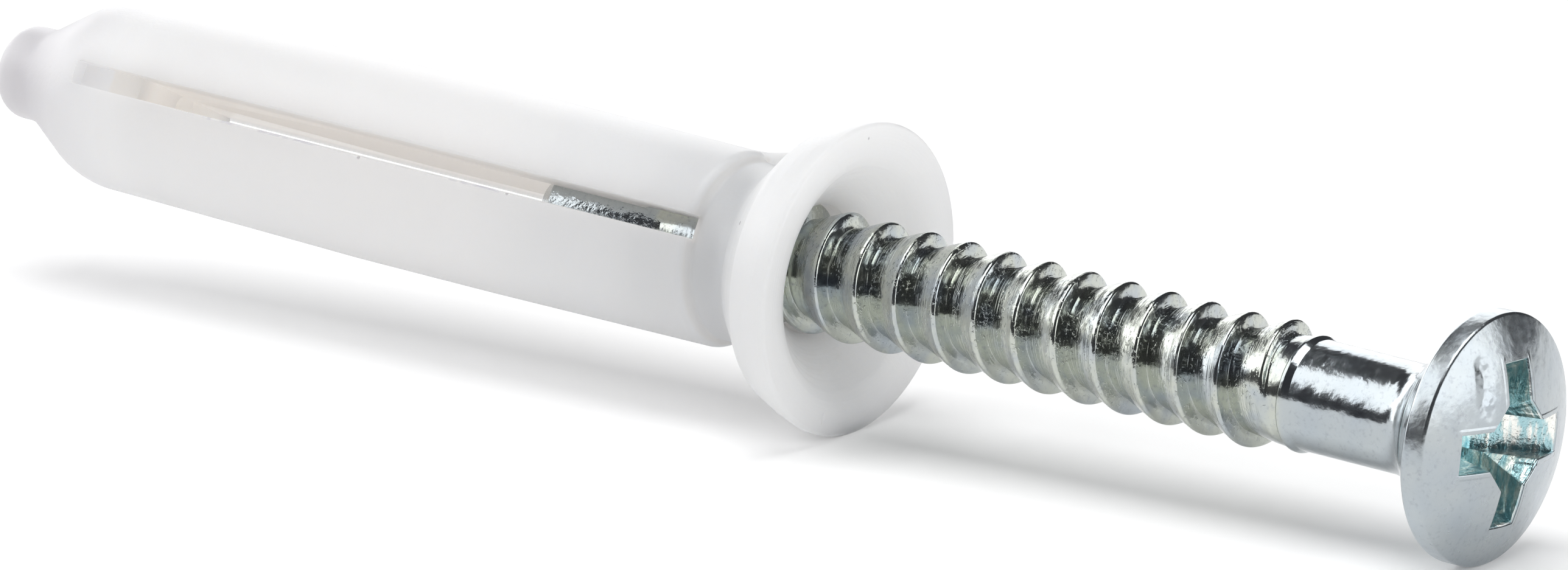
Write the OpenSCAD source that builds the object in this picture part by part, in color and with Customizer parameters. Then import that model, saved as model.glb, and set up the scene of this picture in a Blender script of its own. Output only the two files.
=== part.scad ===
// Nail-in wall plug: a slotted nylon sleeve with a wide countersunk collar, and the
// zinc-plated drive screw that stands part-way in it, ready to be hammered home.
// The pair lies on its side, on the rim of the collar and the rim of the screw's head.

/* [Sleeve body] */
// Length from the collar's front face to the end of the stub on the nose
sleeve_len = 31.75; // [30:0.25:45]
// Diameter of the land round the middle, the size of the drilled hole
body_d = 6; // [5.8:0.02:7]
// Length of the land
land_len = 5; // [3:0.5:8]
// Distance of the land's middle behind the collar's front face
land_at = 15; // [12:0.5:18]
// Radius lost by the moulding draft from the land to the nose
nose_draft = 0.162; // [0.02:0.01:0.3]
// Radius lost by the moulding draft from the land to the neck
neck_draft = 0.07; // [0.02:0.01:0.3]

/* [Sleeve nose] */
// Angle between the nose cone and the axis
nose_angle = 30.5; // [25:0.5:40]
// Rounding where the nose cone runs into the body
shoulder_round = 2.8; // [0.5:0.1:4]
// Diameter of the moulded stub on the end of the nose
stub_d = 2.84; // [2:0.02:3.4]
// Length of the stub
stub_len = 1.36; // [1:0.02:2]
// Rounding of the stub's end
stub_round = 0.66; // [0.1:0.02:0.8]
// Rounding at the foot of the nose cone
nose_fillet = 1.3; // [0.2:0.1:1.6]

/* [Neck and collar] */
// Distance of the body's end behind the collar's front face
neck_back = 4.32; // [4:0.02:5]
// Depth of the neck's groove under the body
neck_depth = 0.28; // [0.1:0.02:0.4]
// Run of the step from the body down to the neck
neck_step = 0.21; // [0.1:0.01:0.4]
// Rounding of both corners of that step
neck_round = 0.34; // [0.05:0.01:0.4]
// Hollow rounding between the neck and the collar's back
collar_fillet = 1; // [0.2:0.1:1.4]
// Diameter of the collar
collar_d = 9.3; // [9.1:0.1:12]
// Thickness of the collar at its rim
rim_len = 1.6; // [1.2:0.05:1.8]
// Radius lost along the rim towards the collar's back
rim_taper = 0.5; // [0.2:0.02:0.7]
// Rounding of the collar's front edge
rim_round = 0.12; // [0.05:0.01:0.2]
// Angle between the collar's back and the axis
collar_back_angle = 45; // [40:1:50]
// Rounding of the lip between the front face and the countersink
lip_round = 1.12; // [0.2:0.02:1.2]
// Thickness of the thin web that stiffens the neck
web_w = 0.6; // [0.3:0.05:1.2]
// Hollow rounding of the web's outer edge
web_round = 4.3; // [1:0.1:5]

/* [Slots] */
// Width of the two slots that let the body spread
slot_w = 0.71; // [0.4:0.01:1.2]
// Distance of the slots' front end behind the collar's front face
slot_front = 4.2; // [4:0.05:6]
// Distance of the slots' far end from the end of the stub
slot_back = 4.25; // [4:0.05:8]
// Width of the bevel along the slots' outer edges
slot_bevel = 0.06; // [0.02:0.01:0.2]
// Length of the shallow groove that leads each slot out on the nose
groove_len = 2.2; // [1:0.1:4]
// Depth of that groove below the body's surface
groove_depth = 0.5; // [0.2:0.05:1]
// Direction of the first slot, in degrees above the front
slot_angle = 27.3; // [0:0.1:90]

/* [Bore] */
// Radial clearance between the bore and the screw's thread
thread_clearance = 0.04; // [0.01:0.01:0.1]
// Radial clearance between the bore and the screw's pilot
pilot_clearance = 0.06; // [0.01:0.01:0.1]
// Length of plain bore left past the screw's tip
bore_ahead = 6.3; // [3:0.1:8]
// Radius of the bore's blind end
bore_end_r = 0.3; // [0.1:0.05:0.6]
// Solid length between the bore's blind end and the end of the stub
nose_solid = 5.4; // [4:0.1:7]

/* [Screw] */
// Length of the screw from its tip to the top of its head
screw_len = 34.15; // [32:0.25:38]
// Length of screw that stands out of the collar
screw_out = 23; // [20:0.25:25]
// Diameter of the smooth pilot
pilot_d = 2.88; // [2.6:0.02:3.2]
// Length of the pilot up to the thread
pilot_len = 4.77; // [3:0.1:6]
// Chamfer of the tip
tip_chamfer = 0.74; // [0.1:0.02:1]
// Diameter of the plain shank under the head
shank_d = 3.22; // [3:0.02:3.5]
// Length from the thread's end to the underside of the head
shank_len = 3.64; // [2:0.1:6]
// Height of the fine ring that the rolling dies leave at the thread's end
ring_h = 0.09; // [0.05:0.01:0.15]
// Hollow rounding between the shank and the head
head_fillet = 0.5; // [0.1:0.05:0.8]

/* [Thread] */
// Outer diameter of the thread
thread_d = 3.74; // [3.6:0.02:4]
// Diameter of the thread's root
core_d = 2.84; // [2.4:0.02:3]
// Pitch of the thread
pitch = 1.413; // [1.1:0.01:2]
// Width of the narrow root between two turns
root_w = 0.06; // [0.02:0.01:0.15]
// Axial width of the rounded crest
crest_w = 0.24; // [0.1:0.01:0.4]
// Axial width of the steep flank that faces the head
flank_w = 0.1; // [0.05:0.01:0.3]
// Direction in which the root crosses the collar's front face, in degrees above the front
thread_angle = -25.8; // [-180:0.2:180]

/* [Head] */
// Diameter of the head
head_d = 7.3; // [6.8:0.05:7.8]
// Height of the head's cylindrical rim
head_rim = 0.65; // [0.3:0.05:1.2]
// Height of the dome above the rim
dome_h = 0.9; // [0.6:0.05:1.4]
// Rounding of the head's edges
head_round = 0.12; // [0.05:0.01:0.2]
// Angle between the head's underside, or the countersink, and the axis
countersink_angle = 45; // [40:1:50]
// Step from the seated head's rim to the collar's front face
head_proud = 0.06; // [0:0.01:0.3]

/* [Recess] */
// Span across two opposite arms of the cross recess
recess_span = 4.9; // [4:0.1:5.4]
// Width of an arm of the recess
recess_w = 1.16; // [0.8:0.02:1.4]
// Width across the flats of the recess's square core where it meets the dome
recess_core = 2.6; // [2.2:0.05:2.9]
// Depth of the recess below the top of the dome
recess_depth = 2.3; // [1.2:0.05:2.5]
// Direction of one arm, in degrees above the front
recess_angle = 4.6; // [0:0.1:90]

/* [Hidden] */
$fn = 96;
arc_step = 7.5;
sleeve_seam = -0.25;
head_seam = 3;
eps = 0.01;

// Radii and stations of the sleeve, measured along the axis from the collar's front face
body_r = body_d / 2;
stub_r = stub_d / 2;
collar_r = collar_d / 2;
nose_r = body_r - nose_draft;
neck_end_r = body_r - neck_draft;
neck_r = neck_end_r - neck_depth;
cone_foot = -sleeve_len + stub_len;
shoulder_z = cone_foot + (nose_r - stub_r) / tan(nose_angle);
rim_back_r = collar_r - rim_taper;
rim_mid_r = collar_r - 0.33 * rim_taper;
collar_foot = -rim_len - (rim_back_r - neck_r) / tan(collar_back_angle);
rim_land = 2 * rim_round;
slot_end = -sleeve_len + slot_back;

// The bore takes its sizes from the screw
thread_r = thread_d / 2;
core_r = core_d / 2;
pilot_r = pilot_d / 2;
shank_r = shank_d / 2;
head_r = head_d / 2;
thread_bore_r = thread_r + thread_clearance;
pilot_bore_r = pilot_r + pilot_clearance;
dish_r = head_r - head_proud;
dish_foot = -(dish_r - thread_bore_r) / tan(countersink_angle);

// Stations of the screw
tip_z = screw_out - screw_len;
thread_lo = tip_z + pilot_len;
rim_top = screw_out - dome_h;
rim_foot = rim_top - head_rim;
head_foot = rim_foot - (head_r - shank_r) / tan(countersink_angle);
thread_hi = head_foot - shank_len;
dome_r = (head_r * head_r + dome_h * dome_h) / (2 * dome_h);
dome_z = screw_out - dome_r;
edge_tilt = 90 - asin(head_r / dome_r);
edge_reach = head_round * tan(edge_tilt / 2);

// The bore steps in just past the thread and narrows past the tip
step_back = thread_clearance + 0.16;
bore_step = thread_lo - step_back;
bore_step_end = bore_step - (thread_bore_r - pilot_bore_r);
bore_taper = tip_z - bore_ahead;
bore_end = -sleeve_len + nose_solid;

// The pair tips until the collar's rim and the head's rim touch the same plane
collar_contact = [collar_r - rim_round, -rim_round];
head_contact = [head_r - head_round, rim_top - edge_reach];
contact_gap = head_contact - collar_contact;
tilt = atan2(-contact_gap[0], contact_gap[1]) - asin((head_round - rim_round) / norm(contact_gap));
lift = collar_contact[0] * cos(tilt) + collar_contact[1] * sin(tilt) + rim_round;
nose_x = (stub_round - sleeve_len) * cos(tilt) - (stub_r - stub_round) * sin(tilt) - stub_round;
crown_r = norm([recess_core / sqrt(2) - recess_w / 2, recess_w / 2]);
crown_z = dome_z + sqrt(dome_r * dome_r - crown_r * crown_r);
head_x = crown_z * cos(tilt) + crown_r * sin(tilt);
mid_x = (nose_x + head_x) / 2;

function unit(v) = v / norm(v);
function turn(a) = a > 180 ? a - 360 : a < -180 ? a + 360 : a;

// The arc that rounds corner b of the path a-b-c
function corner_arc(a, b, c, radius) =
    let (
        back = unit(a - b),
        on = unit(c - b),
        half = acos(back * on) / 2,
        reach = radius / tan(half),
        centre = b + unit(back + on) * radius / sin(half),
        start = b + back * reach - centre,
        stop = b + on * reach - centre,
        from = atan2(start[1], start[0]),
        sweep = turn(atan2(stop[1], stop[0]) - from),
        steps = max(2, ceil(abs(sweep) / arc_step))
    )
    [for (k = [0:steps]) centre + radius * [cos(from + sweep * k / steps), sin(from + sweep * k / steps)]];

// A closed path of [radius, station, rounding] corners, each rounded by its own radius
function rounded(path) =
    let (n = len(path))
    [for (i = [0:n - 1])
        let (
            a = path[(i + n - 1) % n],
            b = path[i],
            c = path[(i + 1) % n]
        )
        each b[2] > 0
            ? corner_arc([a[0], a[1]], [b[0], b[1]], [c[0], c[1]], b[2])
            : [[b[0], b[1]]]];

// Turns what is modelled towards +X to face a direction above the front
module facing(above_front) {
    rotate([0, 0, 270 - above_front]) children();
}

// Half section of the sleeve, from the stub round the collar and down the bore
sleeve_section = [
    [0, -sleeve_len, 0],
    [stub_r, -sleeve_len, stub_round],
    [stub_r, cone_foot, nose_fillet],
    [nose_r, shoulder_z, shoulder_round],
    [body_r, -land_at - land_len / 2, 0],
    [body_r, -land_at + land_len / 2, 0],
    [neck_end_r, -neck_back - neck_step / 2, neck_round],
    [neck_r, -neck_back + neck_step / 2, neck_round],
    [neck_r, collar_foot, collar_fillet],
    [rim_back_r, -rim_len, 0.3],
    [rim_mid_r, -rim_len / 2, 0],
    [collar_r, -rim_land, 0],
    [collar_r, 0, rim_round],
    [dish_r, 0, lip_round],
    [thread_bore_r, dish_foot, 0],
    [thread_bore_r, bore_step, 0],
    [pilot_bore_r, bore_step_end, 0],
    [pilot_bore_r, bore_taper, 0],
    [bore_end_r, bore_end, 0],
    [0, bore_end, 0]
];

// Thin plate across the neck, hollow-edged from the body up to the collar's back
module neck_web() {
    foot = thread_bore_r + 0.2;
    facing(slot_angle + 90)
        rotate([90, 0, 0])
            linear_extrude(web_w, center = true)
                polygon(rounded([
                    [foot, -neck_back - 1.2, 0],
                    [neck_end_r - 0.01, -neck_back - 1.2, 0],
                    [neck_end_r, collar_foot - 0.1, web_round],
                    [rim_back_r - 0.1, -rim_len - 0.1, 0],
                    [rim_back_r - 0.6, -rim_len + 0.3, 0],
                    [foot, dish_foot - 0.6, 0]
                ]));
}

// Section of one slot from a radius outwards: parallel walls, opened by a bevel at the surface
module slot_section(from) {
    half = slot_w / 2;
    bevel_r = body_r - 2 * slot_bevel;
    out_r = body_r + 1;
    spread = half + (out_r - bevel_r) / 2;
    polygon([[from, -half], [bevel_r, -half], [out_r, -spread], [out_r, spread], [bevel_r, half], [from, half]]);
}

// One slot down to the axis, led out over the nose as a shallow groove
module slot() {
    mouth = slot_end + groove_len;
    translate([0, 0, mouth]) linear_extrude(-slot_front - mouth) slot_section(0);
    translate([0, 0, slot_end]) linear_extrude(groove_len + eps) slot_section(nose_r - groove_depth);
}

// The seams of both turned forms lie a little aside of the ground that the rims touch
module sleeve() {
    color([0.93, 0.94, 0.96])
        difference() {
            union() {
                rotate([0, 0, sleeve_seam]) rotate_extrude() polygon(rounded(sleeve_section));
                neck_web();
            }
            for (side = [0, 180]) facing(slot_angle + side) slot();
        }
}

// One turn of the saw-tooth thread: [station, height] from one root to the next,
// a long ramp up from the tip's side, a rounded crest and a steep fall to the head's side
steps = 36;
crest_lo = pitch - flank_w - crest_w;
tooth = [
    [0, 0],
    [root_w, 0.02],
    [crest_lo, 0.86],
    [crest_lo + 0.3 * crest_w, 0.97],
    [crest_lo + 0.55 * crest_w, 1],
    [crest_lo + 0.82 * crest_w, 0.97],
    [crest_lo + crest_w, 0.84],
    [pitch - 0.1 * flank_w, 0.04]
];
rows = len(tooth);
end_gap = 0.05;
thread_z0 = thread_lo + end_gap;
last = floor((thread_hi - end_gap - pitch - thread_z0) / pitch * steps);
fade_in = 0.8 * steps;
fade_out = 0.6 * steps;
core_rise = 1.6 * pitch;

function smooth(x) = let (u = min(1, max(0, x))) u * u * (3 - 2 * u);
function core_at(z) = core_r + (shank_r - core_r) * smooth(1 - (thread_hi - z) / core_rise);
function fade(s) = smooth((s - 0.6 * steps) / fade_in) * smooth((last - s) / fade_out);
function lead(s) = thread_z0 + pitch * s / steps;
function phase(s) = 270 - thread_angle + 360 * lead(s) / pitch;
function ring_point(s, z) = [core_at(z) * cos(phase(s)), core_at(z) * sin(phase(s)), z];
function thread_point(s, p) =
    let (
        z = lead(s) + tooth[p][0],
        r = core_at(z) + (thread_r - core_r) * tooth[p][1] * fade(s)
    )
    [r * cos(phase(s)), r * sin(phase(s)), z];

// The rolled thread, one closed skin wound along the helix and closed by a flat ring at each end
module thread() {
    skin = [for (s = [0:last]) for (p = [0:rows - 1]) thread_point(s, p)];
    brow = [for (s = [last - steps + 1:last]) ring_point(s, lead(s) + pitch)];
    foot_ring = [for (s = [0:steps - 1]) ring_point(s, thread_lo)];
    top_ring = [for (s = [last - steps:last - 1]) ring_point(s, thread_hi)];
    brow_0 = len(skin);
    foot_0 = brow_0 + len(brow);
    top_0 = foot_0 + steps;
    function at(s, p) =
        p < rows ? s * rows + p
        : s <= last - steps ? (s + steps) * rows
        : brow_0 + s - (last - steps + 1);
    seam_foot = [for (p = [0:rows - 1]) at(0, p)];
    seam_top = [for (p = [rows:-1:1]) at(last, p)];
    faces = [
        for (s = [0:last - 1]) for (p = [0:rows - 1])
            each [[at(s, p), at(s, p + 1), at(s + 1, p + 1)], [at(s, p), at(s + 1, p + 1), at(s + 1, p)]],
        for (s = [0:steps - 2])
            each [[foot_0 + s, at(s, 0), at(s + 1, 0)], [foot_0 + s, at(s + 1, 0), foot_0 + s + 1]],
        concat([at(steps - 1, 0), at(steps, 0)], [for (p = [rows - 1:-1:0]) at(0, p)], [foot_0, foot_0 + steps - 1]),
        for (s = [1:steps - 1])
            let (b = last - steps + s, next = s == steps - 1 ? 0 : s + 1)
            each [[at(b, rows), top_0 + s, top_0 + next], [at(b, rows), top_0 + next, at(b + 1, rows)]],
        concat([at(last, 0)], [for (p = [1:rows]) at(last, p)], [top_0, top_0 + 1, at(last - steps + 1, rows)]),
        [for (s = [0:steps - 1]) foot_0 + s],
        [for (s = [steps - 1:-1:0]) top_0 + s]
    ];
    polyhedron(concat(skin, brow, foot_ring, top_ring), faces, convexity = 10);
}

// Smooth pilot with its chamfered tip
module pilot() {
    rotate_extrude()
        polygon([
            [0, tip_z],
            [pilot_r - tip_chamfer, tip_z],
            [pilot_r, tip_z + tip_chamfer],
            [pilot_r, thread_lo],
            [0, thread_lo]
        ]);
}

// Points of the dome from the rim's corner to the top
dome_steps = 12;
dome_arc = [for (k = [1:dome_steps])
    let (a = asin(head_r / dome_r) * (1 - k / dome_steps))
    [dome_r * sin(a), dome_z + dome_r * cos(a), 0]];

// Shank with the fine ring at the thread's end, countersunk underside, rim and dome.
// A root runs down inside the thread.
module head() {
    ring_r = shank_r + ring_h;
    root_r = 0.7 * core_r;
    rotate([0, 0, head_seam]) rotate_extrude()
        polygon(rounded(concat([
            [0, thread_hi - pitch, 0],
            [root_r, thread_hi - pitch, 0],
            [root_r, thread_hi, 0],
            [shank_r + ring_h / 2, thread_hi, 0],
            [ring_r, thread_hi + ring_h, 0],
            [ring_r, thread_hi + 2 * ring_h, 0],
            [shank_r, thread_hi + 4 * ring_h, 0],
            [shank_r, head_foot, head_fillet],
            [head_r, rim_foot, head_round],
            [head_r, rim_top, head_round]
        ], dome_arc)));
}

// Cross recess: four tapered arms round a tapered square core, whose flats cut off the
// corners between the arms, with a pointed floor
module recess() {
    floor_z = screw_out - recess_depth;
    top_z = screw_out + 0.5;
    mouth_z = dome_z + sqrt(dome_r * dome_r - recess_span * recess_span / 4);
    span_r = recess_span / 2;
    floor_r = 0.36 * span_r;
    slope = (span_r - floor_r) / (mouth_z - floor_z);
    top_r = floor_r + slope * (top_z - floor_z);
    corner = recess_core / sqrt(2);
    corner_floor = 0.45 * corner;
    corner_slope = (corner - corner_floor) / (crown_z - floor_z);
    corner_top = corner_floor + corner_slope * (top_z - floor_z);
    for (a = [0, 90])
        rotate([90, 0, a])
            linear_extrude(recess_w, center = true)
                polygon([[-floor_r, floor_z], [floor_r, floor_z], [top_r, top_z], [-top_r, top_z]]);
    translate([0, 0, floor_z]) cylinder(h = top_z - floor_z, r1 = corner_floor, r2 = corner_top, $fn = 4);
    translate([0, 0, floor_z - 0.35]) cylinder(h = 0.35 + eps, r1 = 0, r2 = corner_floor, $fn = 4);
}

module drive_screw() {
    color([0.62, 0.64, 0.62]) {
        pilot();
        thread();
        difference() {
            head();
            facing(recess_angle) recess();
        }
    }
}

// Lays the axis along X, tipped so that both rims touch the ground
module at_rest() {
    translate([-mid_x, 0, lift]) rotate([0, 90 + tilt, 0]) children();
}

at_rest() sleeve();
at_rest() drive_screw();
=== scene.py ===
import math

import bmesh
import bpy
from mathutils import Matrix, Vector


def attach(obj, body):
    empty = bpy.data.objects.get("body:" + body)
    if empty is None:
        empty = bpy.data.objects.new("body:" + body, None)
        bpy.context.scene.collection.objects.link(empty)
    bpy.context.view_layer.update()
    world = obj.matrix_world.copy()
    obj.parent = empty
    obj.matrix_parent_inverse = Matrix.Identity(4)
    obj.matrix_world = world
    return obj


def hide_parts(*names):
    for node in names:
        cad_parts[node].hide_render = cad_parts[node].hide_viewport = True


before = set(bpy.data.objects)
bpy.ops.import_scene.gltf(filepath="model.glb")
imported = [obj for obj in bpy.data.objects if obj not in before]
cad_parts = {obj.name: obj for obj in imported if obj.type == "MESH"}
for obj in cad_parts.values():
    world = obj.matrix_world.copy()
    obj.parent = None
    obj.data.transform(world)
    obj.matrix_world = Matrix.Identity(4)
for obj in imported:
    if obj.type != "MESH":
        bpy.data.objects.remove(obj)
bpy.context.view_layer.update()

# Nylon sleeve. One injection moulding in natural nylon, slightly translucent: a body with two slots
# that let it spread, a short neck with one thin web, and the wide countersunk collar. It is shaped
# here upright on its own axis, in millimetres from the collar's front face, and then laid down.
MM = 0.001
AXIS_DIP = math.radians(2.58526)
COLLAR_CENTRE = Vector((4.41836, 0.0, 4.63998)) * MM
CURVE_STEP = 0.12  # turn from one segment of a rounded corner to the next, in radians

# Corners of the turned outline: radius, station along the axis, rounding.
BODY_R, NOSE_R, NECK_R, COLLAR_R = 3.0, 2.838, 2.65, 4.65
SLEEVE_OUTLINE = (
    (0, -31.75, 0), (1.42, -31.75, 0.66), (1.42, -30.39, 1.3), (NOSE_R, -27.98, 2.8),
    (BODY_R, -17.5, 0), (BODY_R, -12.5, 0), (2.93, -4.425, 0.34), (NECK_R, -4.215, 0.34),
    (NECK_R, -3.1, 1), (4.15, -1.6, 0.3), (4.485, -0.8, 0), (COLLAR_R, -0.24, 0), (COLLAR_R, 0, 0.12),
    (3.59, 0, 1.12), (1.91, -1.68, 0), (1.91, -6.58, 0), (1.5, -6.99, 0), (1.5, -17.45, 0),
    (0.3, -26.35, 0), (0, -26.35, 0))
WEB_OUTLINE = ((2.11, -5.52, 0), (2.92, -5.52, 0), (2.93, -3.2, 4.3), (4.05, -1.7, 0), (3.55, -1.3, 0),
               (2.11, -2.28, 0))
WEB_DIRECTION, WEB_W = 152.7, 0.6

# The slots go right through the body and end in a shallow groove over the nose. Their outer edge
# widens with the radius: radius, growth on each side.
SLOT_W, SLOT_FRONT, SLOT_MOUTH, SLOT_END = 0.71, -4.2, -25.3, -27.5
SLOT_EDGE = ((2.8, 0.0), (2.87, 0.012), (2.93, 0.04), (3.0, 0.1), (3.2, 0.3))
SLOT_DIRECTIONS = (242.7, 62.7)
GROOVE_DEPTH, GROOVE_OVERLAP = 0.5, 0.05

# The small scar on the collar's face where the nylon was fed into the mould.
GATE_SIZE, GATE_PLACE, GATE_DIRECTION = (0.2, 0.07, 0.07), (4.15, 0, -0.02), 338.4


def outline(bm, corners, closed=False):
    """A line through (radius, station, rounding) corners, each rounded by its own radius."""
    points = [Vector((radius, 0.0, station)) for radius, station, rounding in corners]
    verts = [bm.verts.new(point) for point in points]
    for pair in zip(verts, verts[1:]):
        bm.edges.new(pair)
    if closed:
        bm.edges.new((verts[-1], verts[0]))
    for i in range(1, len(corners) - 1):
        if corners[i][2] > 0:
            opening = (points[i - 1] - points[i]).angle(points[i + 1] - points[i])
            bmesh.ops.bevel(bm, geom=[verts[i]], offset=corners[i][2] / math.tan(opening / 2),
                            offset_type="OFFSET", profile=0.5, affect="VERTICES", material=-1,
                            segments=math.ceil((math.pi - opening) / CURVE_STEP) + 1)


def turn_round(bm, steps=128):
    """Spins the outline once round the axis and closes it at its poles."""
    bmesh.ops.spin(bm, geom=bm.verts[:] + bm.edges[:], cent=(0, 0, 0), axis=(0, 0, 1),
                   angle=2 * math.pi, steps=steps, use_merge=True)
    bmesh.ops.remove_doubles(bm, verts=bm.verts, dist=0.0005)
    bmesh.ops.recalc_face_normals(bm, faces=bm.faces)


def draw_out(bm, faces, vec):
    """Extrudes a face into a closed block."""
    grown = bmesh.ops.extrude_face_region(bm, geom=faces)["geom"]
    bmesh.ops.translate(bm, verts=[v for v in grown if isinstance(v, bmesh.types.BMVert)], vec=vec)
    bmesh.ops.recalc_face_normals(bm, faces=bm.faces)


def point_to(bm, direction):
    """Turns a shape round the axis to its direction, in degrees."""
    bmesh.ops.rotate(bm, verts=bm.verts, cent=(0, 0, 0),
                     matrix=Matrix.Rotation(math.radians(direction), 3, "Z"))


def plate(bm, corners, thickness, direction):
    """A flat plate that stands out from the axis, cut to the corners and turned to its direction."""
    outline(bm, corners, closed=True)
    face = bmesh.ops.contextual_create(bm, geom=bm.edges[:])["faces"]
    bmesh.ops.translate(bm, verts=bm.verts, vec=(0, -thickness / 2, 0))
    draw_out(bm, face, (0, thickness, 0))
    point_to(bm, direction)


def slot_tool(low, high, direction, inner=None):
    """The space of the slots right through the body, or of one groove down to an inner radius."""
    bm = bmesh.new()
    half = SLOT_W / 2
    side = [(radius, half + growth) for radius, growth in SLOT_EDGE]
    round_side = [*side, *((r, -w) for r, w in reversed(side))]
    if inner:
        round_side = [(inner, half), *round_side, (inner, -half)]
    else:
        round_side += [(-r, -w) for r, w in round_side]
    face = bm.faces.new([bm.verts.new((r, w, low)) for r, w in round_side])
    draw_out(bm, [face], (0, 0, high - low))
    point_to(bm, direction)
    return bm


def new_piece(name, bm):
    """A piece at the origin that takes over the shape."""
    mesh = bpy.data.meshes.new(name)
    bm.to_mesh(mesh)
    bm.free()
    piece = bpy.data.objects.new(name, mesh)
    bpy.context.scene.collection.objects.link(piece)
    return piece


def carve(piece, operation, bm):
    """Cuts a tool shape out of a piece, or joins it on, and keeps the result as its mesh."""
    tool = new_piece("tool", bm)
    cut = piece.modifiers.new("cut", "BOOLEAN")
    cut.operation = operation
    cut.solver = "MANIFOLD"
    cut.object = tool
    bpy.context.view_layer.update()
    done = bpy.data.meshes.new_from_object(piece.evaluated_get(bpy.context.evaluated_depsgraph_get()))
    piece.modifiers.clear()
    before, piece.data = piece.data, done
    # The tool's object goes together with its mesh.
    for mesh in (before, tool.data):
        bpy.data.meshes.remove(mesh)
    done.name = piece.name


def lay_down(piece, sharp):
    """Moves a shape from its own axis, in millimetres, to where the pair lies, and smooths it."""
    piece.data.transform(Matrix.Translation(COLLAR_CENTRE)
                         @ Matrix.Rotation(math.pi / 2 + AXIS_DIP, 4, "Y") @ Matrix.Scale(MM, 4))
    piece.data.shade_smooth()
    piece.data.set_sharp_from_angle(angle=math.radians(sharp))


sleeve_bm = bmesh.new()
outline(sleeve_bm, SLEEVE_OUTLINE)
turn_round(sleeve_bm)
sleeve = new_piece("nylon_sleeve", sleeve_bm)
web_bm = bmesh.new()
plate(web_bm, WEB_OUTLINE, WEB_W, WEB_DIRECTION)
carve(sleeve, "UNION", web_bm)
carve(sleeve, "DIFFERENCE", slot_tool(SLOT_MOUTH, SLOT_FRONT, SLOT_DIRECTIONS[0]))
for direction in SLOT_DIRECTIONS:
    groove_bm = slot_tool(SLOT_END, SLOT_MOUTH + GROOVE_OVERLAP, direction, NOSE_R - GROOVE_DEPTH)
    carve(sleeve, "DIFFERENCE", groove_bm)
gate_bm = bmesh.new()
bmesh.ops.create_icosphere(gate_bm, subdivisions=3, radius=1.0)
bmesh.ops.scale(gate_bm, verts=gate_bm.verts, vec=GATE_SIZE)
bmesh.ops.translate(gate_bm, verts=gate_bm.verts, vec=GATE_PLACE)
point_to(gate_bm, GATE_DIRECTION)
carve(sleeve, "UNION", gate_bm)
lay_down(sleeve, sharp=35)


def new_material(name):
    """An empty node material with a Principled shader wired to its output."""
    material = bpy.data.materials.new(name)
    material.use_nodes = True
    tree = material.node_tree
    tree.nodes.clear()
    shader = tree.nodes.new("ShaderNodeBsdfPrincipled")
    output = tree.nodes.new("ShaderNodeOutputMaterial")
    tree.links.new(shader.outputs["BSDF"], output.inputs["Surface"])
    return material, tree, shader


def feed(tree, socket, value):
    """Links a socket to another one, or sets it to a plain number or colour."""
    if isinstance(value, bpy.types.NodeSocket):
        tree.links.new(value, socket)
    elif isinstance(value, tuple):
        socket.default_value = (*value, 1)
    else:
        socket.default_value = value


def noise(tree, vector, scale, detail=2.0, roughness=0.5):
    """A noise pattern over the given coordinates."""
    node = tree.nodes.new("ShaderNodeTexNoise")
    feed(tree, node.inputs["Vector"], vector)
    feed(tree, node.inputs["Scale"], scale)
    feed(tree, node.inputs["Detail"], detail)
    feed(tree, node.inputs["Roughness"], roughness)
    return node.outputs["Fac"]


def reckon(tree, operation, *values, clamp=False):
    """One step of arithmetic on sockets and plain numbers."""
    node = tree.nodes.new("ShaderNodeMath")
    node.operation = operation
    node.use_clamp = clamp
    for socket, value in zip(node.inputs, values):
        feed(tree, socket, value)
    return node.outputs[0]


def product(tree, first, *others):
    """All the values multiplied with each other."""
    for other in others:
        first = reckon(tree, "MULTIPLY", first, other)
    return first


def band(tree, value, low, high):
    """Rises smoothly from 0 to 1 as the value goes from low to high."""
    node = tree.nodes.new("ShaderNodeMapRange")
    node.interpolation_type = "SMOOTHSTEP"
    feed(tree, node.inputs["From Min"], low)
    feed(tree, node.inputs["From Max"], high)
    feed(tree, node.inputs["Value"], value)
    return node.outputs["Result"]


def fall(tree, value, low, high):
    """Falls smoothly from 1 to 0 as the value goes from low to high."""
    return reckon(tree, "SUBTRACT", 1.0, band(tree, value, low, high))


def within(tree, value, low, high, soft):
    """1 between two values, fading out over a soft margin on both sides."""
    return product(tree, band(tree, value, low - soft, low), fall(tree, value, high, high + soft))


def blend_colours(tree, share, first, second):
    """Mixes two colours, or sockets that carry them, by a share from 0 to 1."""
    node = tree.nodes.new("ShaderNodeMix")
    node.data_type = "RGBA"
    feed(tree, node.inputs["Factor"], share)
    feed(tree, node.inputs["A"], first)
    feed(tree, node.inputs["B"], second)
    return node.outputs["Result"]


def stretched(tree, x, y, z=0.0):
    """Coordinates put together from three values, for a pattern that is longer one way."""
    node = tree.nodes.new("ShaderNodeCombineXYZ")
    for socket, value in zip(node.inputs, (x, y, z)):
        feed(tree, socket, value)
    return node.outputs["Vector"]


def bump(tree, height, distance, under=None):
    """Raises the surface by a height pattern, over another bump if one is given."""
    node = tree.nodes.new("ShaderNodeBump")
    feed(tree, node.inputs["Height"], height)
    feed(tree, node.inputs["Distance"], distance)
    if under:
        feed(tree, node.inputs["Normal"], under)
    return node.outputs["Normal"]


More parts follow.
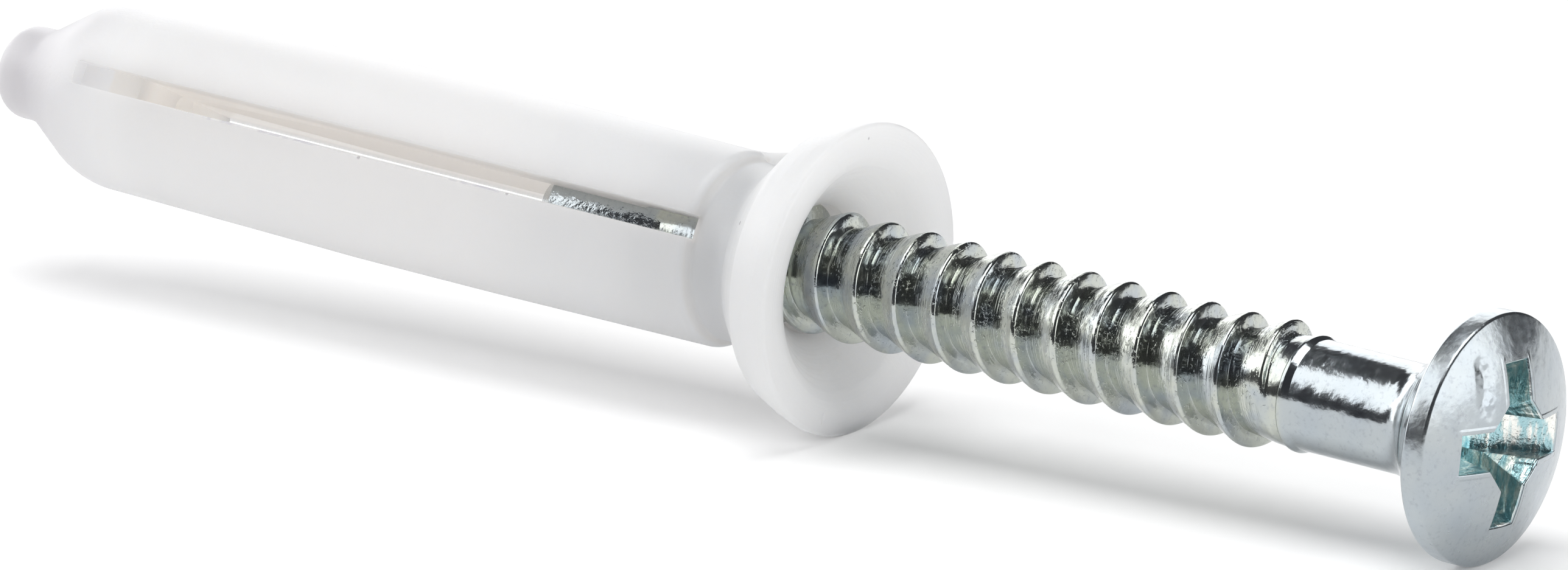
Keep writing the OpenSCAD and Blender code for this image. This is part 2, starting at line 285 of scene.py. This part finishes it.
def on_axis(tree):
    """Object coordinates turned to the pair's axis: millimetres, with the station as Z."""
    place = tree.nodes.new("ShaderNodeMapping")
    place.vector_type = "TEXTURE"
    place.inputs["Location"].default_value = COLLAR_CENTRE
    place.inputs["Rotation"].default_value = (0, math.pi / 2 + AXIS_DIP, 0)
    place.inputs["Scale"].default_value = (MM, MM, MM)
    tree.links.new(tree.nodes.new("ShaderNodeTexCoord").outputs["Object"], place.inputs["Vector"])
    parts = tree.nodes.new("ShaderNodeSeparateXYZ")
    tree.links.new(place.outputs["Vector"], parts.inputs["Vector"])
    return place.outputs["Vector"], parts.outputs


def radius_of(tree, axes):
    """Distance from the pair's axis."""
    return reckon(tree, "SQRT", reckon(tree, "ADD", product(tree, axes["X"], axes["X"]),
                                       product(tree, axes["Y"], axes["Y"])))


def along(tree, axes, direction):
    """Distance from the pair's axis towards one direction round it, in degrees."""
    turn = math.radians(direction)
    return reckon(tree, "ADD", product(tree, axes["X"], math.cos(turn)),
                  product(tree, axes["Y"], math.sin(turn)))


# Both finishes have faint clouds of tone and a skin that isn't quite even. This group makes both.
skin_group = bpy.data.node_groups.new("soft_skin", "ShaderNodeTree")
for label, kind in (("Vector", "NodeSocketVector"), ("Cloud Scale", "NodeSocketFloat"),
                    ("First Tone", "NodeSocketColor"), ("Second Tone", "NodeSocketColor"),
                    ("Wave Scale", "NodeSocketFloat"), ("Wave Detail", "NodeSocketFloat"),
                    ("Wave Height", "NodeSocketFloat")):
    skin_group.interface.new_socket(name=label, in_out="INPUT", socket_type=kind)
skin_group.interface.new_socket(name="Tone", in_out="OUTPUT", socket_type="NodeSocketColor")
skin_group.interface.new_socket(name="Normal", in_out="OUTPUT", socket_type="NodeSocketVector")
given = skin_group.nodes.new("NodeGroupInput").outputs
result = skin_group.nodes.new("NodeGroupOutput").inputs
clouds = noise(skin_group, given["Vector"], given["Cloud Scale"], detail=3.0)
waves = noise(skin_group, given["Vector"], given["Wave Scale"], detail=given["Wave Detail"])
clouded = blend_colours(skin_group, clouds, given["First Tone"], given["Second Tone"])
feed(skin_group, result["Tone"], clouded)
feed(skin_group, result["Normal"], bump(skin_group, waves, given["Wave Height"]))


def soft_skin(tree, vector, **settings):
    """The clouded tone and the uneven skin of one material, with its own settings."""
    node = tree.nodes.new("ShaderNodeGroup")
    node.node_tree = skin_group
    feed(tree, node.inputs["Vector"], vector)
    for label, value in settings.items():
        feed(tree, node.inputs[label.replace("_", " ").title()], value)
    return node.outputs["Tone"], node.outputs["Normal"]


nylon, tree, shader = new_material("natural_nylon")
where, axes = on_axis(tree)
station, out = axes["Z"], radius_of(tree, axes)
tone, skin = soft_skin(tree, where, cloud_scale=0.55, first_tone=(0.965, 0.972, 0.985),
                       second_tone=(0.985, 0.983, 0.978), wave_scale=2.2, wave_detail=3.0,
                       wave_height=0.012 * MM)

# The solid nose is painted greyer and darker than the thin-walled body, as painted shade.
NOSE_SHADE_GREY = (0.58, 0.57, 0.60)
painted_nose_shade = fall(tree, station, -31.5, -24.5)
tone = blend_colours(tree, painted_nose_shade, tone, NOSE_SHADE_GREY)

# Two broken dark violet dashes are painted along one wall of the first slot, as painted shadow lines.
SLOT_SHADOW_TONE = (0.60, 0.58, 0.68)
SLOT_SHADOW_DASHES = ((-22.2, -18.4, 0.8), (-13.4, -11.4, 0.6))  # from, to, length of the soft ends
across = along(tree, axes, SLOT_DIRECTIONS[0] + 90)
shadow_dashes = reckon(tree, "MAXIMUM", *(within(tree, station, *dash) for dash in SLOT_SHADOW_DASHES))
painted_slot_shadow = product(tree, shadow_dashes, within(tree, across, 0.345, 0.42, 0.04),
                  band(tree, noise(tree, where, 1.5), 0.35, 0.6))
tone = blend_colours(tree, painted_slot_shadow, tone, SLOT_SHADOW_TONE)

# A few dark specks are moulded in.
SPECK_TONE = (0.42, 0.40, 0.42)
specks = tree.nodes.new("ShaderNodeTexVoronoi")
feed(tree, specks.inputs["Vector"], where)
feed(tree, specks.inputs["Scale"], 0.42)
tone = blend_colours(tree, fall(tree, specks.outputs["Distance"], 0.02, 0.035), tone, SPECK_TONE)

# The slots' own walls and the bore are painted a little darker and warmer than the outside, as painted
# shade in the recesses.
RECESS_SHADE_TONE = (0.90, 0.87, 0.84)
slotted = within(tree, station, SLOT_MOUTH - 1.0, SLOT_FRONT, 0.2)
painted_recess_shade = product(tree, slotted, fall(tree, out, 2.75, 2.9))
tone = blend_colours(tree, painted_recess_shade, tone, RECESS_SHADE_TONE)
feed(tree, shader.inputs["Base Color"], tone)

# Light passes far into the nylon. The light that would seep through the walls is painted on the bore and
# the inner slot walls as a faint warm glow.
SEEP_GLOW_TONE = (1.0, 0.95, 0.91)
painted_seep_glow = product(tree, slotted, fall(tree, out, 1.5, 2.3))
feed(tree, shader.inputs["Emission Color"], blend_colours(tree, painted_seep_glow, (0.0, 0.0, 0.0), SEEP_GLOW_TONE))
shader.inputs["Emission Strength"].default_value = 0.13
shader.inputs["Roughness"].default_value = 0.4
shader.inputs["Specular IOR Level"].default_value = 0.35
shader.inputs["IOR"].default_value = 1.53
shader.inputs["Subsurface Weight"].default_value = 1.0
shader.inputs["Subsurface Radius"].default_value = (1.0, 0.96, 0.9)
shader.inputs["Subsurface Scale"].default_value = 5.0 * MM
shader.inputs["Transmission Weight"].default_value = 0.15

# The collar keeps the rings of its turned mould, and a fine grain covers the whole.
rings = stretched(tree, product(tree, out, 5.0), product(tree, station, 5.0))
turned = product(tree, noise(tree, rings, 1.0, detail=1.0), band(tree, station, -3.4, -2.6))
skin = bump(tree, turned, 0.03 * MM, under=skin)
skin = bump(tree, noise(tree, where, 9.0), 0.004 * MM, under=skin)
feed(tree, shader.inputs["Normal"], skin)
sleeve.data.materials.clear()
sleeve.data.materials.append(nylon)
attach(sleeve, "root")
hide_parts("sleeve")

# Drive screw. Steel wire, headed with its cross recess, its saw-tooth thread rolled on, then
# zinc-plated and passivated. It stands part-way in the sleeve and is hammered home.
TIP, TIP_CHAMFER, PILOT_END, THREAD_END = -11.15, 0.74, -6.38, 15.77
PILOT_R, CORE_R, THREAD_R, SHANK_R, HEAD_R = 1.44, 1.42, 1.87, 1.61, 3.65
PITCH, FLANK_W, CREST_W = 1.413, 0.1, 0.24
THREAD_ANGLE, STEPS_A_TURN = -25.8, 96
CORE_GROWS_OVER = 1.6  # turns over which the core thickens to the shank
RIM_FOOT, RIM_TOP = 21.45, 22.1
RING_H, HOLLOW_LEN, HOLLOW_ROUND = 0.09, 1.54, 1.3
DOME_R, DOME_CENTRE = 7.8514, 15.1486
DOME_EDGE, DOME_STEP = 25.2, 2.8  # angles from the axis to points of the dome, in degrees

# Half the span of the cross, half the width of its square core, and the width of an arm.
RECESS_SPAN, RECESS_CORE, ARM_W = 2.45, 1.3, 1.16
RECESS_FLOOR, RECESS_ANGLE = 20.7, 265.4


def ease(x):
    """Rises smoothly from 0 to 1, and is flat outside."""
    x = min(1.0, max(0.0, x))
    return x * x * (3 - 2 * x)


def core_at(station):
    """Radius of the thread's root: the core, thickening to the shank over the last turns."""
    return CORE_R + (SHANK_R - CORE_R) * ease(1 - (THREAD_END - station) / (CORE_GROWS_OVER * PITCH))


def rolled_thread(bm):
    """Winds one tooth along the helix, lets the ridge die away, and cuts both ends square."""
    ramp = PITCH - FLANK_W - CREST_W
    # The tooth, from one root to the next: distance along the axis, share of the thread's height.
    tooth = ((0.0, 0.0), (0.06, 0.02), (0.3, 0.21), (0.6, 0.47), (ramp - 0.12, 0.79), (ramp, 0.875),
             (ramp + 0.07, 0.95), (ramp + 0.13, 0.99), (ramp + 0.18, 1.0), (ramp + 0.22, 0.95),
             (ramp + 0.25, 0.84), (PITCH - 0.05, 0.35), (PITCH - 0.015, 0.05), (PITCH, 0.0))
    margin = 0.05
    first = PILOT_END + margin
    turns = math.floor((THREAD_END - margin - PITCH - first) / PITCH * STEPS_A_TURN) / STEPS_A_TURN
    spare, begins, grows_over, dies_over = 2, 0.6, 0.8, 0.6  # all in turns
    outline(bm, [(CORE_R + (THREAD_R - CORE_R) * h, first - spare * PITCH + z, 0) for z, h in tooth])
    bmesh.ops.spin(bm, geom=bm.verts[:] + bm.edges[:], cent=(0, 0, 0), axis=(0, 0, 1),
                   dvec=(0, 0, PITCH / STEPS_A_TURN), angle=2 * math.pi * (turns + 2 * spare),
                   steps=round((turns + 2 * spare) * STEPS_A_TURN))
    bmesh.ops.remove_doubles(bm, verts=bm.verts, dist=0.002)
    for vert in bm.verts:
        x, y, station = vert.co
        # How many turns along the ridge this point lies.
        share = (math.atan2(y, x) / (2 * math.pi)) % 1.0
        wound = share + math.floor((station - first) / PITCH - share + 1e-4)
        height = math.hypot(x, y) - CORE_R
        height *= ease((wound - begins) / grows_over) * ease((turns - wound) / dies_over)
        grow = (core_at(station) + height) / math.hypot(x, y)
        vert.co = (x * grow, y * grow, station)
    for station, upward in ((PILOT_END, -1), (THREAD_END, 1)):
        bmesh.ops.bisect_plane(bm, geom=bm.verts[:] + bm.edges[:] + bm.faces[:], dist=0.0001,
                               plane_co=(0, 0, station), plane_no=(0, 0, upward), clear_outer=True)
    point_to(bm, 270 - THREAD_ANGLE + 360 * first / PITCH)


def add_turned(bm, corners):
    """Adds a turned form to a shape that is being built."""
    part = bmesh.new()
    outline(part, corners)
    turn_round(part)
    mesh = bpy.data.meshes.new("part")
    part.to_mesh(mesh)
    part.free()
    bm.from_mesh(mesh)
    bpy.data.meshes.remove(mesh)


def bridge_rings(bm, station):
    """Closes the gap between the two open rings that face each other near a station."""
    rings = [e for e in bm.edges if e.is_boundary and abs(e.verts[0].co.z - station) < 0.1]
    bmesh.ops.bridge_loops(bm, edges=rings)


# From the tip to the head: pilot, thread, the fine ring left by the rolling dies, plain shank,
# hollow underside, rim and dome.
screw_bm = bmesh.new()
rolled_thread(screw_bm)
add_turned(screw_bm, (
    (0, TIP, 0), (PILOT_R - TIP_CHAMFER, TIP, 0.05), (PILOT_R, TIP + TIP_CHAMFER, 0.12),
    (PILOT_R, PILOT_END - 0.04, 0)))
bridge_rings(screw_bm, PILOT_END)
dome = [(DOME_R * math.sin(angle), DOME_CENTRE + DOME_R * math.cos(angle), 0)
        for angle in (math.radians(DOME_EDGE - DOME_STEP * step) for step in range(9))]
add_turned(screw_bm, (
    (SHANK_R + 0.05, THREAD_END + 0.03, 0), (SHANK_R + RING_H, THREAD_END + 0.09, 0.03),
    (SHANK_R + RING_H, THREAD_END + 0.18, 0.04), (SHANK_R, THREAD_END + 0.36, 0.1),
    (SHANK_R, RIM_FOOT - HOLLOW_LEN, HOLLOW_ROUND), (HEAD_R, RIM_FOOT, 0.15), (HEAD_R, RIM_TOP, 0.12),
    *dome, (0, DOME_CENTRE + DOME_R, 0)))
bridge_rings(screw_bm, THREAD_END)
bmesh.ops.recalc_face_normals(screw_bm, faces=screw_bm.faces)
screw = new_piece("plated_screw", screw_bm)

# The recess is a square core that narrows to a point, and two crossed blades that narrow to their
# feet. Each blade stands a hair higher than the last, so that no two faces share a plane.
PUNCH_TOP = 23.5
CORE_RISE = 2.177  # height above the floor at which the core has its full width
CORE_FOOT = 0.45  # share of that width at the floor
FOOT_R = 0.36 * RECESS_SPAN
mouth = DOME_CENTRE + math.sqrt(DOME_R ** 2 - RECESS_SPAN ** 2)
top_r = FOOT_R + (RECESS_SPAN - FOOT_R) / (mouth - RECESS_FLOOR) * (PUNCH_TOP - RECESS_FLOOR)
core_corner = RECESS_CORE * math.sqrt(2)
core_bm = bmesh.new()
core_width = CORE_FOOT + (1 - CORE_FOOT) * (PUNCH_TOP - RECESS_FLOOR) / CORE_RISE
outline(core_bm, ((0, RECESS_FLOOR - 0.35, 0), (CORE_FOOT * core_corner, RECESS_FLOOR, 0),
                  (core_corner * core_width, PUNCH_TOP, 0), (0, PUNCH_TOP, 0)))
turn_round(core_bm, 4)
point_to(core_bm, RECESS_ANGLE)
recess = new_piece("recess", core_bm)
for turn, lift in ((0, 0.003), (90, 0.006)):
    blade_bm = bmesh.new()
    plate(blade_bm, ((-top_r, PUNCH_TOP + 10 * lift, 0), (-FOOT_R, RECESS_FLOOR + lift, 0.15),
                     (FOOT_R, RECESS_FLOOR + lift, 0.15), (top_r, PUNCH_TOP + 10 * lift, 0)),
          ARM_W, RECESS_ANGLE + turn)
    carve(recess, "UNION", blade_bm)
recess_bm = bmesh.new()
recess_bm.from_mesh(recess.data)
bpy.data.meshes.remove(recess.data)
carve(screw, "DIFFERENCE", recess_bm)
lay_down(screw, sharp=40)

zinc, tree, shader = new_material("zinc_plate")
where, axes = on_axis(tree)
station, out = axes["Z"], radius_of(tree, axes)
shader.inputs["Metallic"].default_value = 1.0
tone, skin = soft_skin(tree, where, cloud_scale=0.8, first_tone=(0.385, 0.435, 0.485),
                       second_tone=(0.485, 0.515, 0.51), wave_scale=1.4, wave_detail=2.0,
                       wave_height=0.03 * MM)

# The passivation is greener on the thread, and the plating is speckled all over.
PASSIVE_GREEN, SPECKLE_TONE = (0.525, 0.55, 0.50), (0.3, 0.32, 0.36)
greenish = product(tree, within(tree, station, PILOT_END, THREAD_END, 0.3),
                   band(tree, noise(tree, where, 0.9), 0.3, 0.6))
tone = blend_colours(tree, greenish, tone, PASSIVE_GREEN)
speckle = product(tree, band(tree, noise(tree, where, 7.0, 3.0, 0.65), 0.52, 0.72), 0.45)
tone = blend_colours(tree, speckle, tone, SPECKLE_TONE)

# The recess was torn by the punch and kept more of the teal passivation in layers.
PUNCHED_TEAL, PUNCHED_PALE = (0.40, 0.62, 0.66), (0.95, 0.95, 0.90)
from_dome_centre = tree.nodes.new("ShaderNodeVectorMath")
from_dome_centre.operation = "DISTANCE"
from_dome_centre.inputs[1].default_value = (0, 0, DOME_CENTRE)
feed(tree, from_dome_centre.inputs[0], where)
sunk = reckon(tree, "SUBTRACT", DOME_R, from_dome_centre.outputs["Value"])
in_recess = product(tree, band(tree, sunk, 0.01, 0.1),
                    band(tree, station, RECESS_FLOOR - 0.4, RECESS_FLOOR - 0.2),
                    reckon(tree, "LESS_THAN", out, RECESS_SPAN + 0.15))
layers = stretched(tree, product(tree, axes["X"], 1.3), product(tree, axes["Y"], 1.3),
                   product(tree, station, 5.0))
punched = noise(tree, layers, 0.8, 3.0, 0.6)
punched_tone = blend_colours(tree, band(tree, punched, 0.42, 0.6), PUNCHED_TEAL, PUNCHED_PALE)
tone = blend_colours(tree, in_recess, tone, punched_tone)
feed(tree, shader.inputs["Base Color"], tone)

# The head is a little more satin than the wire.
satin = product(tree, band(tree, station, RIM_FOOT - 0.2, RIM_FOOT + 0.2), 0.1)
dullness = reckon(tree, "ADD", product(tree, noise(tree, where, 2.5, 3.0), 0.16),
                  reckon(tree, "ADD", satin, 0.07))
feed(tree, shader.inputs["Roughness"], dullness)

# Pits lie everywhere and are coarser on the pilot and in the recess, which is torn in layers too.
on_pilot = fall(tree, station, PILOT_END - 0.3, PILOT_END + 0.3)
coarser = reckon(tree, "ADD", product(tree, reckon(tree, "ADD", in_recess, on_pilot), 1.2), 0.3)
pitted = product(tree, noise(tree, where, 4.5, 3.0, 0.6), coarser)
skin = bump(tree, pitted, 0.018 * MM, under=skin)
skin = bump(tree, product(tree, punched, in_recess), 0.06 * MM, under=skin)

# The rolling dies leave grit marks, and fine scores that run round with the thread.
on_thread = within(tree, station, PILOT_END + 1.0, THREAD_END - 1.0, 1.0)
grit = product(tree, band(tree, noise(tree, where, 9.0, 2.0, 0.6), 0.56, 0.66), on_thread,
               band(tree, punched, 0.45, 0.6))
skin = bump(tree, grit, 0.01 * MM, under=skin)
winding = reckon(tree, "SUBTRACT", product(tree, station, 2 * math.pi / PITCH),
                 reckon(tree, "ARCTAN2", axes["Y"], axes["X"]))
helix = stretched(tree, product(tree, reckon(tree, "COSINE", winding), 3.4),
                  product(tree, reckon(tree, "SINE", winding), 3.4), product(tree, station, 2.6))
scored = product(tree, band(tree, noise(tree, helix, 1.0, 3.0, 0.65), 0.5, 0.68), on_thread,
                 band(tree, noise(tree, where, 1.3), 0.38, 0.6))
skin = bump(tree, scored, 0.007 * MM, under=skin)

# The punch pressed a dent into the dome beside the upper arm, and raised a fine lip round the cross.
up_arm, beside = along(tree, axes, RECESS_ANGLE - 90), along(tree, axes, RECESS_ANGLE)
on_face = band(tree, station, RIM_TOP + 0.1, RIM_TOP + 0.3)
dent = product(tree, within(tree, up_arm, 1.5, 2.3, 0.7), within(tree, beside, 1.5, 1.55, 0.4),
               band(tree, noise(tree, where, 1.6), 0.2, 0.7), on_face)
skin = bump(tree, dent, -0.08 * MM, under=skin)
from_arms = reckon(tree, "MINIMUM", reckon(tree, "ABSOLUTE", up_arm), reckon(tree, "ABSOLUTE", beside))
lip = product(tree, within(tree, from_arms, 0.62, 0.68, 0.08), fall(tree, out, 2.4, 2.7), on_face)
skin = bump(tree, lip, 0.02 * MM, under=skin)
feed(tree, shader.inputs["Normal"], skin)
screw.data.materials.clear()
screw.data.materials.append(zinc)
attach(screw, "root")
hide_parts("drive_screw")

# Floor. A plain pale sheet under the pair, wide enough to be its background too. What the camera,
# the metal and the nylon see of it is lifted a little, so that it reads as white and keeps the shadow.
FLOOR_TONE, FLOOR_LIFT = 0.94, 0.12
floor_bm = bmesh.new()
bmesh.ops.create_grid(floor_bm, x_segments=1, y_segments=1, size=4.0)
floor = new_piece("floor", floor_bm)
paper, tree, shader = new_material("white_paper")
shader.inputs["Base Color"].default_value = (FLOOR_TONE, FLOOR_TONE, FLOOR_TONE, 1)
shader.inputs["Roughness"].default_value = 0.9
shader.inputs["Specular IOR Level"].default_value = 0.0
seen = tree.nodes.new("ShaderNodeLightPath").outputs
direct = reckon(tree, "ADD", reckon(tree, "ADD", seen["Is Camera Ray"], seen["Is Glossy Ray"]),
                seen["Is Transmission Ray"], clamp=True)
feed(tree, shader.inputs["Emission Strength"], product(tree, direct, FLOOR_LIFT))
shader.inputs["Emission Color"].default_value = (1, 1, 1, 1)
floor.data.materials.append(paper)


# Light. Plain soft boxes round the pair in a dim room, as a studio sets them: at the front towards
# the nose, overhead, behind, and low at both ends. The one at the nose's end is there for what the
# metal and the nylon reflect, and the fill is for the nylon and the floor alone.
def soft_box(name, azimuth, elevation, distance, width, height, brightness):
    """A rectangular lamp facing the pair, in degrees and metres; 0 is the front, 90 the head's end."""
    across, up = math.radians(azimuth), math.radians(elevation)
    data = bpy.data.lights.new(name, "AREA")
    data.shape = "RECTANGLE"
    data.size, data.size_y = width, height
    data.energy = brightness * math.pi * width * height
    lamp = bpy.data.objects.new(name, data)
    out = Vector((math.sin(across) * math.cos(up), -math.cos(across) * math.cos(up), math.sin(up)))
    side = Vector((math.cos(across), math.sin(across), 0))
    lamp.matrix_world = (Matrix.Translation(out * distance)
                         @ Matrix((side, out.cross(side), out)).transposed().to_4x4())
    bpy.context.scene.collection.objects.link(lamp)
    return lamp


soft_box("front_box", -60, 38, 0.7, 0.64, 0.52, 2.0)
soft_box("top_box", 0, 90, 0.7, 0.56, 0.56, 3.4)
nose_box = soft_box("nose_box", -98, 12, 0.75, 0.8, 0.34, 2.4)
nose_box.visible_diffuse = False
soft_box("back_box", -143, 20, 0.72, 0.36, 0.5, 1.9)
soft_box("head_box", 105, 14, 0.75, 0.9, 0.4, 2.0)
fill_box = soft_box("fill_box", 48, 22, 0.75, 0.9, 0.6, 1.25)
fill_box.visible_glossy = False
world = bpy.data.worlds.new("room")
bpy.context.scene.world = world
world.use_nodes = True
room_light = world.node_tree.nodes["Background"]
room_light.inputs["Color"].default_value = (0.06, 0.06, 0.065, 1)
room_light.inputs["Strength"].default_value = 1.0

# Camera. A long lens from the front, over the head's end, as in the photograph. The collar's centre
# is given as the lens sees it: to the right, down and ahead, in millimetres.
AZIMUTH, ELEVATION = math.radians(36.955), math.radians(15.325)
COLLAR_IN_VIEW = Vector((2.193, -0.135, 378.2)) * MM
right = Vector((math.cos(AZIMUTH), math.sin(AZIMUTH), 0))
ahead = Vector((-math.sin(AZIMUTH) * math.cos(ELEVATION), math.cos(AZIMUTH) * math.cos(ELEVATION),
                -math.sin(ELEVATION)))
below = ahead.cross(right)
camera_data = bpy.data.cameras.new("camera")
camera_data.lens = 300.5
camera_data.sensor_width = 36.0
camera_data.clip_start, camera_data.clip_end = 0.01, 20.0
camera = bpy.data.objects.new("camera", camera_data)
place = COLLAR_CENTRE - (right * COLLAR_IN_VIEW.x + below * COLLAR_IN_VIEW.y + ahead * COLLAR_IN_VIEW.z)
camera.matrix_world = Matrix.Translation(place) @ Matrix((right, -below, -ahead)).transposed().to_4x4()
bpy.context.scene.collection.objects.link(camera)
bpy.context.scene.camera = camera
bpy.context.scene.view_settings.view_transform = "Standard"
